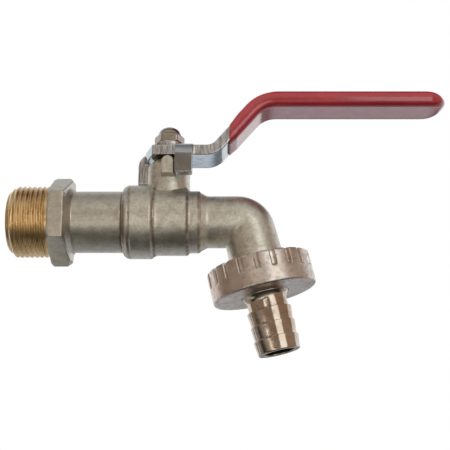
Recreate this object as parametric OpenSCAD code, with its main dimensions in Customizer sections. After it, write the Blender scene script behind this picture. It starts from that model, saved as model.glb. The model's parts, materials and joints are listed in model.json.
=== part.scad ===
// Barrel tap with a quarter-turn ball valve, a bent steel lever and a hose union.
// Millimetres. +X runs along the barrel from the inlet to the elbow, +Z up the stem.
// The origin is on the barrel's axis, in the shoulder that the inlet thread ends at.

/* [Inlet barrel] */
// Major diameter of the inlet pipe thread
inlet_thread_d = 26.44; // [20:0.01:30]
// Length of the inlet pipe thread
inlet_thread_l = 15.4; // [9:0.1:24]
// Radial depth of the lead-in chamfer at the end of the inlet thread
inlet_lead_in = 2.2; // [0.5:0.1:3]
// Slope of the lead-in chamfer from the barrel's axis
inlet_lead_angle = 42; // [20:1:60]
// Bore of the inlet barrel
inlet_bore_d = 15; // [10:0.5:17]
// Spanner hexagon across its flats
hex_af = 29; // [25:0.5:32]
// Depth of the chamfer on the hexagon's corners, beside the thread
hex_chamfer = 1; // [0.2:0.1:2]
// Width of the hexagon's corners at the forging's parting plane
hex_w = 6; // [4:0.1:12]
// Draft of the hexagon's forged face, to both sides of the parting plane
hex_draft = 8; // [0:0.5:8]
// Length of the cone that runs from the hexagon's corners down to the neck
hex_cone_l = 4.2; // [1:0.1:5]
// Distance from the thread's shoulder to the end face of the body
neck_end = 26; // [18:0.1:40]
// Radial lip of the neck outside the thread that screws into the body
neck_lip = 0.3; // [0.1:0.1:1.5]
// Radial step from the ball chamber out to the thread that screws into the body
insert_step = 0.85; // [0.4:0.05:1.5]

/* [Ball and seats] */
// Distance from the body's end face to the stem's axis
stem_offset = 16.5; // [16:0.1:24]
// Diameter of the ball
ball_d = 19; // [17:0.1:22]
// Water port through the ball
port_d = 12; // [7:0.5:13]
// Radial room between the ball and the seats' faces
ball_fit = 0.05; // [0.02:0.01:0.1]
// Thickness of a seat at its bore
seat_land = 2.4; // [1.6:0.1:3]
// Height of a seat's lip around the ball
seat_lip = 1; // [0.5:0.1:1.6]
// How far a seat stands out past the ball
seat_over = 0.7; // [0.4:0.1:1.2]
// How far a seat's bore stands out past the ball's port
seat_bore_over = 0.4; // [0.2:0.1:1]
// Radial room between a seat and the chamber
seat_fit = 0.05; // [0.02:0.01:0.1]

/* [Body] */
// Wall of the collar that the inlet barrel screws into
collar_wall = 2.6; // [1.5:0.1:4]
// Radius of the round on the collar's end
collar_round = 2.6; // [0.5:0.1:3]
// Length of the collar
collar_l = 11.3; // [9:0.1:14]
// Wall of the ball chamber
chamber_wall = 2.25; // [1.5:0.05:3.5]
// Distance from the stem's axis to the end of the ball chamber's wall
chamber_reach = 8; // [6:0.1:9]
// Radial step from the ball chamber's wall down to the shoulder ring
shoulder_step = 0.95; // [0.3:0.05:1.4]
// Length of the shoulder ring
shoulder_l = 4.3; // [3:0.1:7]
// Bevel at each step between the rings
step_bevel = 0.7; // [0.3:0.1:0.9]
// Diameter of the spout tube
tube_d = 19.3; // [17:0.1:21]
// Length of the cone between the shoulder ring and the tube
tube_cone_l = 2.3; // [1:0.1:4]
// Waterway through the tube
waterway_d = 13; // [9:0.5:14]

/* [Elbow and outlet] */
// Distance from the stem's axis to the elbow's corner
elbow_offset = 29.3; // [27:0.1:45]
// Bend radius of the elbow at the middle of the tube
elbow_r = 4.5; // [2:0.1:5]
// Lean of the outlet from straight down
outlet_tilt = 13; // [0:1:30]
// Distance from the elbow's corner to the outlet's end face
outlet_l = 22.3; // [20:0.1:30]
// Diameter of the down tube where it meets the outlet's flare
drop_tube_d = 19.9; // [18:0.1:22]
// Length of the flare under the outlet thread
flare_l = 2.6; // [2:0.1:5]
// Length of the outlet thread
outlet_thread_l = 7.2; // [6:0.1:9]
// Bore of the outlet, up to the elbow
outlet_bore_d = 14.5; // [12:0.5:15]

/* [Stem and gland] */
// Diameter of the round boss that carries the stem
boss_d = 16; // [14.8:0.1:17]
// Wall between the ball chamber and the pocket of the stem's flange
flange_wall = 0.5; // [0.3:0.1:1.5]
// Diameter of the stem's shaft
stem_d = 8; // [7:0.1:8.6]
// Diameter of the flange that keeps the stem in the body
stem_flange_d = 10.6; // [9.6:0.1:11]
// Thickness of the stem's flange
stem_flange_t = 1.8; // [1:0.1:2]
// Thickness of the blade that turns the ball
blade_t = 4; // [2.5:0.1:5]
// Width of the blade that turns the ball
blade_w = 8; // [5:0.1:9]
// Depth of the slot in the ball's top
slot_depth = 2.8; // [1.5:0.1:3.2]
// Room between the stem and what it turns in or turns
stem_fit = 0.06; // [0.03:0.01:0.1]
// Diameter of the stem where two flats drive the lever
drive_d = 7.2; // [6.4:0.1:7.6]
// Size of the drive across its two flats
drive_af = 5.4; // [4.5:0.1:6]
// Diameter of the stem's top thread
stem_thread_d = 6; // [5:0.5:6]
// Thickness of the thrust washer
thrust_washer_t = 0.8; // [0.5:0.1:1.2]
// Thickness of one packing ring
packing_t = 1.5; // [1:0.1:1.6]
// Number of packing rings
packing_count = 2; // [1:1:2]
// Outer diameter of the packing and of the gland nut's thread
gland_d = 12; // [11:0.1:12.4]
// Thickness of the land between the thrust washer and the packing
gland_land = 1.4; // [1:0.1:2]
// Length of the gland nut's thread
gland_l = 3.45; // [1.5:0.05:6]
// Gland nut across its flats
gland_af = 12; // [11:0.5:13]
// Height of the gland nut's head above the boss
gland_head = 2.2; // [1.2:0.1:2.6]

/* [Stop lug] */
// Width of the stop lug
lug_w = 4.7; // [3:0.1:6]
// Distance from the stem's axis to the lug's outer face
lug_reach = 10.4; // [9.6:0.1:11]
// Room between the lug's rounded top and the lever
lug_clear = 1.3; // [0.3:0.1:2]
// Room between the lug and the gland nut
lug_gap = 0.4; // [0.2:0.1:0.8]
// Height of the lug from its foot to its top
lug_h = 6.8; // [5:0.1:9]
// Slope of the lug's underside
lug_draft = 18; // [0:1:30]

/* [Lever] */
// Thickness of the lever's steel strip
lever_t = 4; // [2.5:0.1:4.4]
// Width of the lever's strip
lever_w = 14.9; // [13:0.1:18]
// Gap between the gland nut's head and the lever
lever_gap = 0.7; // [0.5:0.1:2]
// Distance from the stem's axis to the first bend's corner
lever_bend_x = 17.2; // [16:0.1:22]
// Slope of the lever between its two bends
lever_slope = 49.5; // [35:0.5:60]
// Height that the lever climbs between its two levels
lever_rise = 21.1; // [17:0.1:30]
// Radius of the first bend at the middle of the strip
lever_bend1_r = 6.5; // [5:0.5:10]
// Radius of the second bend at the middle of the strip
lever_bend2_r = 13; // [8:0.5:15]
// Distance from the stem's axis to the tip of the grip
lever_reach = 105.8; // [80:0.1:160]
// Distance from the stem's axis to the tip of the hub's corner beside the rear tab
hub_tip = 9.4; // [8:0.1:10]
// Distance from the stem's axis to the hub's front corner
hub_corner = 5.9; // [4:0.1:7]
// Inner radius of the bends that fold the stop tabs down
tab_bend_r = 1; // [0.8:0.1:1.6]
// Width of each stop tab
tab_w = 6.6; // [4:0.1:7]
// Room between the tabs' lower ends and the height of the collar
tab_over = 1.7; // [0.8:0.1:2.8]
// Room between a stop tab and what it meets or passes
tab_gap = 0.3; // [0.2:0.05:0.4]
// Radius at the lower corners of the stop tabs
tab_corner_r = 1; // [0.5:0.1:2]

/* [Grip] */
// Thickness of the dipped vinyl over the strip's faces
grip_wall = 1.1; // [0.6:0.1:1.6]
// Thickness of the dipped vinyl over the strip's edges
grip_side = 0.7; // [0.5:0.1:1.6]
// Radius along the edges of the grip
grip_edge_r = 2.5; // [1.6:0.1:2.5]
// Distance from the stem's axis to the line that the grip is dipped to
grip_start = 22.7; // [21:0.1:40]

/* [Lever nut] */
// Outer diameter of the flat washer
washer_d = 12.4; // [11:0.1:14]
// Thickness of the flat washer
washer_t = 1; // [1:0.1:2]
// Outer diameter of the spring washer
spring_washer_d = 11.4; // [10:0.1:12]
// Thickness of the spring washer
spring_washer_t = 1.5; // [1:0.1:2]
// Width of the cut through the spring washer
spring_washer_cut = 1; // [0.5:0.1:2]
// Direction that the spring washer's cut faces
spring_washer_turn = 200; // [0:5:355]
// Cap nut across its flats
cap_nut_af = 10; // [9:0.5:11]
// Height of the cap nut's hexagon
cap_nut_hex_h = 2.5; // [2:0.1:6]
// Diameter that the top of the cap nut's hexagon is turned down to
cap_nut_top_d = 9.8; // [8:0.1:10]
// Height of the cap nut's dome
cap_nut_dome_h = 4.6; // [2:0.1:5]
// Diameter of the cap nut's dome at its foot
cap_nut_dome_d = 9.6; // [7.5:0.1:9.8]
// Depth of the cap nut's threaded hole
cap_nut_thread_l = 4.8; // [3:0.1:6]
// Radial clearance of loose holes over the stem
hole_fit = 0.2; // [0.1:0.05:0.4]

/* [Union nut] */
// Outer diameter of the union nut
union_d = 38.1; // [37:0.1:44]
// Wall of the union nut round the outlet thread
union_wall = 2.35; // [2:0.05:4]
// Height of the union nut
union_h = 11.8; // [10:0.1:14]
// Thickness of the union nut's floor
union_floor = 2; // [1.4:0.1:3]
// Number of grip slots round the union nut
slot_count = 20; // [12:1:30]
// Width of a grip slot
slot_w = 1.6; // [1:0.1:2]
// Radial depth of a grip slot
slot_cut = 1; // [0.5:0.1:1.2]
// Length of a grip slot from the nut's top edge
slot_l = 5.9; // [4:0.1:9]
// Turn of the first grip slot, as a share of the pitch between two slots
slot_phase = 0.3; // [0:0.05:1]
// Radius of the round on the union nut's edges
union_round = 1.1; // [0.4:0.1:1.8]
// Radial clearance of the union nut over the outlet thread
union_fit = 0.08; // [0.04:0.01:0.1]

/* [Hose tail] */
// Thickness of the rubber sealing washer
seal_t = 2; // [1.5:0.1:3]
// Thickness of the hose tail's flange
tail_flange_t = 2; // [1.5:0.1:3]
// Radial clearance of the tail's flange and the seal inside the union nut
tail_fit = 0.4; // [0.3:0.1:0.8]
// Diameter of the hose tail's collar, which the union nut turns on
tail_collar_d = 17; // [16:0.1:19]
// Distance that the collar stands out below the union nut
tail_collar_out = 0.6; // [0.4:0.1:2]
// Depth of the bevel between the collar and the first barb
tail_bevel = 0.3; // [0.1:0.1:0.4]
// Diameter over the barbs
barb_d = 16.4; // [15.8:0.1:16.9]
// Diameter at the small end of a barb
barb_foot_d = 15.2; // [13.5:0.1:15.6]
// Length of one barb
barb_l = 5.2; // [3.5:0.1:6]
// Number of barbs
barb_count = 4; // [2:1:6]
// Bore of the hose tail
tail_bore_d = 11; // [8:0.1:12]

/* [Hidden] */
$fn = 96;
eps = 0.01;
// How far a cutter stands out past what it cuts
past = 1;
// Overlap where a straight runs into a bend, and how much smaller the bend's section is
joint = 0.05;
hair = 0.01;
far = 60;

stem_x = neck_end + stem_offset;
elbow_x = stem_x + elbow_offset;

// The seats touch the ball where their bores begin, and their backs lie a land further out
seat_bore_r = port_d / 2 + seat_bore_over;
seat_contact = sqrt(pow(ball_d / 2, 2) - pow(seat_bore_r, 2));
seat_back = seat_contact + seat_land;
seat_r = ball_d / 2 + seat_over;
chamber_r = seat_r + seat_fit;
insert_r = chamber_r + insert_step;
neck_r = insert_r + neck_lip;
insert_end = stem_x - seat_back;
chamber_end = stem_x + seat_back;

// Outside radii of the forging, each from the wall it leaves
collar_r = insert_r + collar_wall;
chamber_wall_r = chamber_r + chamber_wall;
shoulder_r = chamber_wall_r - shoulder_step;

// Levels up the stem, measured from the barrel's axis
flange_z = chamber_r + flange_wall;
thrust_z = flange_z + stem_flange_t;
land_z = thrust_z + thrust_washer_t;
packing_z = land_z + gland_land;
gland_z = packing_z + packing_count * packing_t;
boss_top = gland_z + gland_l;
lever_z = boss_top + gland_head + lever_gap;
washer_z = lever_z + lever_t;
spring_washer_z = washer_z + washer_t;
cap_nut_z = spring_washer_z + spring_washer_t;
stem_top = cap_nut_z + cap_nut_thread_l;
lug_top = lever_z - lug_clear;
tab_foot = collar_r + tab_over;

// The tabs fold down clear of the boss, and stop on the lug's two sides
tab_in = boss_d / 2 + tab_gap;
tab_edge = lug_w / 2 + tab_gap;
rear_tab_in = sqrt(pow(tab_in, 2) - pow(tab_edge, 2));
rear_bend_x = rear_tab_in - tab_bend_r;

// Where the elbow's bend begins on both of its tubes, and how far both bores pass its corner
elbow_tangent = elbow_r * tan((90 - outlet_tilt) / 2);
bore_past = 1.5;

// Levels down the outlet's axis, measured from the elbow's corner
seal_s = outlet_l;
tail_s = seal_s + seal_t;
union_end_s = tail_s + tail_flange_t + union_floor;
barbs_s = union_end_s + tail_collar_out;
union_bore_r = union_d / 2 - union_wall;
tail_flange_r = union_bore_r - tail_fit;

// Colours, as the photograph shows them
nickel = [0.66, 0.64, 0.58];
brass = [0.80, 0.60, 0.30];
steel = [0.68, 0.72, 0.76];
vinyl = [0.72, 0.10, 0.14];
ptfe = [0.93, 0.93, 0.90];
nbr = [0.12, 0.12, 0.12];

// Turns what is drawn about +Z so that it runs along the barrel
module along_barrel() {
    rotate([0, 90, 0]) children();
}

// Moves what is drawn about the origin to the stem's axis
module on_stem(z = 0) {
    translate([stem_x, 0, z]) children();
}

// Turns +Z to run down the outlet, from the elbow's corner
module on_outlet(s = 0) {
    translate([elbow_x, 0, 0]) rotate([0, 180 - outlet_tilt, 0]) translate([0, 0, s]) children();
}

// Disc with a hole through it
module ring(d, hole_d, h) {
    difference() {
        cylinder(d = d, h = h);
        translate([0, 0, -eps]) cylinder(d = hole_d, h = h + 2 * eps);
    }
}

// Hexagonal prism, measured across its flats
module hexagon(af, h) {
    cylinder(d = af / cos(30), h = h, $fn = 6);
}

// Follows a run of [straight length, bend radius, bend angle] steps along +X with a flat
// section whose width lies along Y. A bend of a positive angle climbs towards +Z. The
// straights run a hair into the bends, whose section is a hair smaller, so that they fuse.
module follow(run, i = 0) {
    l = run[i][0];
    r = run[i][1];
    a = run[i][2];
    back = i > 0 ? joint : 0;
    $inset = 0;
    translate([-back, 0, 0]) rotate([90, 0, 90])
        linear_extrude(back + l + (a != 0 ? joint : 0)) children();
    if (a != 0) translate([l, 0, sign(a) * r]) {
        rotate([90, 0, 0])
            rotate_extrude(angle = abs(a), start = a > 0 ? -90 : 90 + a)
                translate([r, 0]) rotate(90) let ($inset = hair) children();
        rotate([0, -a, 0]) translate([0, 0, -sign(a) * r]) follow(run, i + 1) children();
    }
}

module inlet_barrel() {
    thread_r = inlet_thread_d / 2;
    lead_l = inlet_lead_in / tan(inlet_lead_angle);
    corner_r = hex_af / 2 / cos(30);
    cone_end = hex_w + hex_cone_l;
    // Width in the middle of a flat, at the parting plane and where the draft leaves it
    flat_w = hex_w + hex_cone_l * (corner_r - hex_af / 2) / (corner_r - neck_r);
    drafted_w = flat_w - hex_af / 2 * tan(hex_draft);
    color(nickel) difference() {
        union() {
            // Thread, neck and insert, turned as one
            along_barrel() rotate_extrude() polygon([
                [0, -inlet_thread_l],
                [thread_r - inlet_lead_in, -inlet_thread_l],
                [thread_r, lead_l - inlet_thread_l],
                [thread_r, 0],
                [hex_af / 2 - eps, 0],
                [hex_af / 2 - eps, drafted_w],
                [neck_r, cone_end - hex_cone_l / 2],
                [neck_r, neck_end],
                [insert_r, neck_end],
                [insert_r, insert_end],
                [0, insert_end]
            ]);
            // Forged hexagon, with draft on both sides of its parting plane
            intersection() {
                along_barrel() hexagon(hex_af, cone_end);
                along_barrel() rotate_extrude() polygon([
                    [0, 0],
                    [corner_r - hex_chamfer, 0],
                    [corner_r + past, hex_chamfer + past],
                    [corner_r + past, hex_w - past * hex_cone_l / (corner_r - neck_r)],
                    [neck_r, cone_end],
                    [0, cone_end]
                ]);
                translate([0, 0, -far / 2]) linear_extrude(far) polygon([
                    [0, -far / 2],
                    [flat_w - far / 2 * tan(hex_draft), -far / 2],
                    [flat_w, 0],
                    [flat_w - far / 2 * tan(hex_draft), far / 2],
                    [0, far / 2]
                ]);
            }
        }
        translate([-inlet_thread_l - eps, 0, 0]) along_barrel()
            cylinder(d = inlet_bore_d, h = inlet_thread_l + insert_end + 2 * eps);
    }
}

// Outside of the forging, from the collar to the start of the elbow
module body_outside() {
    collar_end = neck_end + collar_l;
    chamber_wall_end = stem_x + chamber_reach;
    shoulder_end = chamber_wall_end + shoulder_l;
    along_barrel() rotate_extrude() {
        polygon([
            [0, neck_end],
            [collar_r - collar_round, neck_end],
            [collar_r - collar_round, neck_end + collar_round],
            [collar_r, neck_end + collar_round],
            [collar_r, collar_end - step_bevel],
            [collar_r - step_bevel, collar_end],
            [chamber_wall_r, collar_end + 2 * step_bevel],
            [chamber_wall_r, chamber_wall_end - step_bevel],
            [shoulder_r, chamber_wall_end],
            [shoulder_r, shoulder_end - step_bevel],
            [shoulder_r - step_bevel, shoulder_end],
            [tube_d / 2, shoulder_end + tube_cone_l],
            [tube_d / 2, elbow_x - elbow_tangent + joint],
            [0, elbow_x - elbow_tangent + joint]
        ]);
        translate([collar_r - collar_round, neck_end + collar_round]) circle(r = collar_round);
    }
}

// Outer half of the elbow. Both tubes run a hair into it, so that they fuse. The section is
// the tube's circle, with straight edges where it nears the bend's axis.
module elbow_back() {
    r = tube_d / 2 - hair;
    clip = 0.3;
    flat = 1;
    pole_y = sqrt(pow(r, 2) - pow(elbow_r, 2)) + hair / 3;
    join_y = sqrt(pow(r, 2) - pow(elbow_r - flat, 2)) - hair / 3;
    translate([elbow_x - elbow_tangent, 0, -elbow_r]) rotate([90, 0, 0])
        rotate_extrude(angle = 90 - outlet_tilt, start = outlet_tilt) {
            intersection() {
                translate([elbow_r, 0]) circle(r = r);
                translate([clip, -far / 2]) square(far);
            }
            polygon([[0, -pole_y], [flat, -join_y], [flat, join_y], [0, pole_y]]);
        }
}

// Down tube, flare and outlet thread
module outlet_outside() {
    thread_r = union_bore_r - union_fit;
    thread_s = outlet_l - outlet_thread_l;
    lead = 0.8;
    on_outlet() rotate_extrude() polygon([
        [0, elbow_tangent - joint],
        [tube_d / 2, elbow_tangent - joint],
        [drop_tube_d / 2, thread_s - flare_l],
        [thread_r - lead, thread_s],
        [thread_r, thread_s + lead],
        [thread_r, outlet_l - lead],
        [thread_r - lead, outlet_l],
        [0, outlet_l]
    ]);
}

// Lug on the front of the boss that both tabs of the lever stop against
module stop_lug() {
    foot = lug_top - lug_h;
    root = gland_af / 2 + lug_gap;
    under = lug_reach - root;
    intersection() {
        on_stem() translate([-lug_w / 2, 0, 0]) rotate([90, 0, 90]) linear_extrude(lug_w) polygon([
            [-root, lug_top],
            [-lug_reach, lug_top],
            [-lug_reach, foot],
            [-root, foot - under * tan(lug_draft)]
        ]);
        on_stem() rotate([90, 0, 0]) linear_extrude(far) union() {
            translate([0, lug_top - lug_w / 2]) circle(d = lug_w);
            translate([-lug_w / 2, 0]) square([lug_w, lug_top - lug_w / 2]);
        }
    }
}

module valve_body() {
    color(nickel) difference() {
        union() {
            body_outside();
            elbow_back();
            outlet_outside();
            on_stem() cylinder(d = boss_d, h = boss_top);
            stop_lug();
        }
        // Thread for the inlet barrel, then the ball chamber
        translate([neck_end - eps, 0, 0]) along_barrel()
            cylinder(r = insert_r, h = insert_end - neck_end + 2 * eps);
        translate([insert_end, 0, 0]) along_barrel()
            cylinder(r = chamber_r, h = chamber_end - insert_end);
        // Waterway through the tube, and the wider outlet bore that meets it in the elbow
        translate([chamber_end - eps, 0, 0]) along_barrel()
            cylinder(d = waterway_d, h = elbow_x + bore_past - chamber_end + eps);
        on_outlet(-bore_past) cylinder(d = outlet_bore_d, h = outlet_l + bore_past + eps);
        // Stem's flange pocket, its bearing and the gland
        on_stem() cylinder(d = stem_flange_d + 2 * stem_fit, h = land_z);
        on_stem(land_z - eps) cylinder(d = stem_d + 2 * stem_fit, h = gland_land + 2 * eps);
        on_stem(packing_z) cylinder(d = gland_d, h = boss_top - packing_z + eps);
    }
}

module ball() {
    color(nickel) on_stem() difference() {
        sphere(d = ball_d);
        translate([-ball_d, 0, 0]) along_barrel() cylinder(d = port_d, h = 2 * ball_d);
        // Slot for the stem's blade, across the port
        translate([-blade_t / 2 - stem_fit, -ball_d / 2, ball_d / 2 - slot_depth])
            cube([blade_t + 2 * stem_fit, ball_d, ball_d]);
    }
}

// Seat ring at the inlet side of a ball at the origin
module seat() {
    difference() {
        translate([-seat_back, 0, 0]) along_barrel()
            ring(2 * seat_r, 2 * seat_bore_r, seat_land + seat_lip);
        sphere(r = ball_d / 2 + ball_fit);
    }
}

module inlet_seat() {
    color(ptfe) on_stem() seat();
}

module outlet_seat() {
    color(ptfe) on_stem() rotate([0, 0, 180]) seat();
}

module thrust_washer() {
    color(ptfe) on_stem(thrust_z) ring(stem_flange_d, stem_d + 2 * stem_fit, thrust_washer_t);
}

module stem() {
    blade_foot = ball_d / 2 - slot_depth + stem_fit;
    color(brass) on_stem() {
        // Blade in the ball's slot, rounded to the flange
        intersection() {
            translate([-blade_t / 2, -blade_w / 2, blade_foot])
                cube([blade_t, blade_w, flange_z - blade_foot]);
            cylinder(d = stem_flange_d, h = flange_z);
        }
        translate([0, 0, flange_z]) cylinder(d = stem_flange_d, h = stem_flange_t);
        translate([0, 0, thrust_z]) cylinder(d = stem_d, h = lever_z - thrust_z);
        // Two flats drive the lever, and the nut's thread stands on them
        intersection() {
            translate([0, 0, lever_z]) cylinder(d = drive_d, h = lever_t);
            translate([-drive_af / 2, -drive_d, 0]) cube([drive_af, 2 * drive_d, far]);
        }
        translate([0, 0, washer_z]) cylinder(d = stem_thread_d, h = stem_top - washer_z);
    }
}

module packing_rings() {
    color(ptfe) for (i = [0 : packing_count - 1])
        on_stem(packing_z + i * packing_t) ring(gland_d, stem_d + 2 * stem_fit, packing_t - eps);
}

module gland_nut() {
    color(brass) on_stem(gland_z) difference() {
        union() {
            cylinder(d = gland_d, h = gland_l);
            // Hexagonal head, with its upper corners turned off
            translate([0, 0, gland_l]) intersection() {
                hexagon(gland_af, gland_head);
                cylinder(d1 = gland_af + 2 * gland_head, d2 = gland_af, h = gland_head);
            }
        }
        translate([0, 0, -eps]) cylinder(d = stem_d + 2 * stem_fit, h = gland_l + gland_head + past);
    }
}

// Run of the strip's middle line, from the stem's axis to the tip
function lever_run(tip) =
    let (
        t1 = lever_bend1_r * tan(lever_slope / 2),
        t2 = lever_bend2_r * tan(lever_slope / 2),
        slope_l = lever_rise / sin(lever_slope),
        bend2_x = lever_bend_x + lever_rise / tan(lever_slope)
    ) [
        [lever_bend_x - t1, lever_bend1_r, lever_slope],
        [slope_l - t1 - t2, lever_bend2_r, -lever_slope],
        [tip - bend2_x - t2, 0, 0]
    ];

// Bent strip, from the stem's axis to its rounded tip
module lever_strip() {
    cap_x = lever_reach - lever_w / 2 - grip_side;
    on_stem(lever_z) {
        translate([0, 0, lever_t / 2]) follow(lever_run(cap_x + joint))
            square([lever_w - 2 * $inset, lever_t - 2 * $inset], center = true);
        translate([cap_x, 0, lever_rise + hair])
            cylinder(d = lever_w - 2 * hair, h = lever_t - 2 * hair);
    }
}

// Flat hub behind the stem's axis, with a slanting end beside the rear tab
module lever_hub() {
    on_stem(lever_z) linear_extrude(lever_t) polygon([
        [0, -lever_w / 2],
        [0, lever_w / 2],
        [-rear_bend_x, lever_w / 2],
        [-rear_bend_x, tab_edge],
        [-hub_tip, tab_edge],
        [-hub_corner, -lever_w / 2]
    ]);
}

// Tab that folds down over +X, with its inner face at a distance from the stem's axis
module stop_tab(inner_x, w) {
    r = tab_bend_r + lever_t / 2;
    drop = lever_z - tab_bend_r - tab_foot;
    difference() {
        translate([inner_x - tab_bend_r - past, 0, lever_z + lever_t / 2])
            follow([[past, r, -90], [drop, 0, 0]])
                square([w - 2 * $inset, lever_t - 2 * $inset], center = true);
        // Rounded lower corners
        for (side = [-1, 1])
            translate([inner_x - past, side * (w / 2 - tab_corner_r), tab_foot + tab_corner_r])
                difference() {
                    translate([0, side > 0 ? 0 : -w, -w]) cube([lever_t + 2 * past, w, w]);
                    translate([-past, 0, 0]) along_barrel()
                        cylinder(r = tab_corner_r, h = lever_t + 4 * past);
                }
    }
}

module lever() {
    rear_w = lever_w / 2 - tab_edge;
    color(steel) difference() {
        union() {
            lever_strip();
            lever_hub();
            // Front tab, beside the lug while the tap is open
            on_stem() translate([tab_edge + tab_w / 2, 0, 0]) rotate([0, 0, -90])
                stop_tab(tab_in, tab_w);
            // Rear tab, which meets the lug when the tap is shut
            on_stem() translate([0, tab_edge + rear_w / 2, 0]) rotate([0, 0, 180])
                stop_tab(rear_tab_in, rear_w);
        }
        // Hole with two flats over the stem's drive
        on_stem(lever_z - past) intersection() {
            cylinder(d = drive_d + 2 * stem_fit, h = lever_t + 2 * past);
            translate([-drive_af / 2 - stem_fit, -drive_d, 0])
                cube([drive_af + 2 * stem_fit, 2 * drive_d, lever_t + 2 * past]);
        }
    }
}

// Section of the grip: the strip's section with the vinyl round it
module grip_section() {
    w = lever_w + 2 * grip_side - 2 * $inset;
    t = lever_t + 2 * grip_wall - 2 * $inset;
    square([w - 2 * grip_edge_r, t], center = true);
    square([w, t - 2 * grip_edge_r], center = true);
    for (x = [-1, 1], y = [-1, 1])
        translate([x * (w / 2 - grip_edge_r), y * (t / 2 - grip_edge_r)]) circle(r = grip_edge_r);
}

module lever_grip() {
    cap_x = lever_reach - lever_w / 2 - grip_side;
    color(vinyl) difference() {
        on_stem(lever_z + lever_t / 2) {
            intersection() {
                follow(lever_run(cap_x + joint)) grip_section();
                translate([grip_start, -far / 2, -lever_t]) cube([lever_reach, far, far]);
            }
            // Round end, the same section turned about the tip
            translate([cap_x, 0, lever_rise]) rotate_extrude(angle = 180, start = -90)
                let ($inset = hair) intersection() {
                    grip_section();
                    translate([0, -far / 2]) square(far);
                }
        }
        lever_strip();
    }
}

module flat_washer() {
    color(steel) on_stem(washer_z) ring(washer_d, stem_thread_d + 2 * hole_fit, washer_t);
}

module spring_washer() {
    color(steel) on_stem(spring_washer_z) difference() {
        ring(spring_washer_d, stem_thread_d + 2 * hole_fit, spring_washer_t);
        rotate([0, 0, spring_washer_turn]) translate([0, -spring_washer_cut / 2, -eps])
            cube([spring_washer_d, spring_washer_cut, spring_washer_t + 2 * eps]);
    }
}

module cap_nut() {
    corner_d = cap_nut_af / cos(30);
    dome_r = (pow(cap_nut_dome_d / 2, 2) + pow(cap_nut_dome_h, 2)) / (2 * cap_nut_dome_h);
    chamfer_h = (corner_d - cap_nut_top_d) / 2 * tan(30);
    color(nickel) on_stem(cap_nut_z) difference() {
        union() {
            // Hexagon with its upper corners turned off
            intersection() {
                rotate(30) hexagon(cap_nut_af, cap_nut_hex_h);
                union() {
                    cylinder(d = corner_d, h = cap_nut_hex_h - chamfer_h);
                    translate([0, 0, cap_nut_hex_h - chamfer_h])
                        cylinder(d1 = corner_d, d2 = cap_nut_top_d, h = chamfer_h);
                }
            }
            // Dome, a cap cut from a ball
            intersection() {
                translate([0, 0, cap_nut_hex_h + cap_nut_dome_h - dome_r]) along_barrel() sphere(r = dome_r);
                translate([0, 0, cap_nut_hex_h - eps]) cylinder(d = cap_nut_af, h = cap_nut_dome_h + past);
            }
        }
        translate([0, 0, -eps]) cylinder(d = stem_thread_d, h = cap_nut_thread_l + 2 * eps);
    }
}

module union_nut() {
    r = union_d / 2;
    round_r = r - union_round;
    foot_w = slot_w * 2 / 3;
    mouth_w = slot_w * 4 / 3;
    color(nickel) on_outlet(union_end_s - union_h) difference() {
        rotate_extrude() {
            square([round_r, union_h]);
            translate([0, union_round]) square([r, union_h - 2 * union_round]);
            for (z = [union_round, union_h - union_round]) translate([round_r, z]) circle(r = union_round);
        }
        translate([0, 0, -eps]) cylinder(r = union_bore_r, h = union_h - union_floor + eps);
        cylinder(d = tail_collar_d + 2 * hole_fit, h = union_h + past);
        // Grip slots, open at the nut's top edge and wider at their mouths
        for (i = [0 : slot_count - 1]) rotate([0, 0, (i + slot_phase) * 360 / slot_count])
            translate([r - slot_cut, 0, -past]) linear_extrude(slot_l + past) polygon([
                [0, -foot_w / 2], [slot_cut, -mouth_w / 2], [slot_cut + past, -mouth_w / 2],
                [slot_cut + past, mouth_w / 2], [slot_cut, mouth_w / 2], [0, foot_w / 2]
            ]);
    }
}

module union_seal() {
    color(nbr) on_outlet(seal_s) ring(2 * tail_flange_r, outlet_bore_d, seal_t);
}

module hose_tail() {
    turn_r = tail_collar_d / 2;
    color(nickel) on_outlet() difference() {
        rotate_extrude() polygon(concat(
            [
                [0, tail_s],
                [tail_flange_r, tail_s],
                [tail_flange_r, tail_s + tail_flange_t],
                [turn_r, tail_s + tail_flange_t],
                [turn_r, barbs_s - tail_bevel]
            ],
            [for (i = [0 : barb_count - 1], p = [[barb_d / 2, 0], [barb_foot_d / 2, barb_l]])
                [p[0], barbs_s + i * barb_l + p[1]]],
            [[0, barbs_s + barb_count * barb_l]]
        ));
        translate([0, 0, tail_s - eps])
            cylinder(d = tail_bore_d, h = barbs_s - tail_s + barb_count * barb_l + 2 * eps);
    }
}

inlet_barrel();
valve_body();
ball();
inlet_seat();
outlet_seat();
thrust_washer();
stem();
packing_rings();
gland_nut();
lever();
lever_grip();
flat_washer();
spring_washer();
cap_nut();
union_nut();
union_seal();
hose_tail();
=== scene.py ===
"""Looks of the barrel tap: worked metal surfaces, a real pipe thread, light and camera.

+X runs along the barrel from the inlet to the elbow, +Z up the stem, and -Y towards the camera.
"""

import json
import math
from typing import NamedTuple

import bmesh
import bpy
from mathutils import Matrix, Vector


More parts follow.
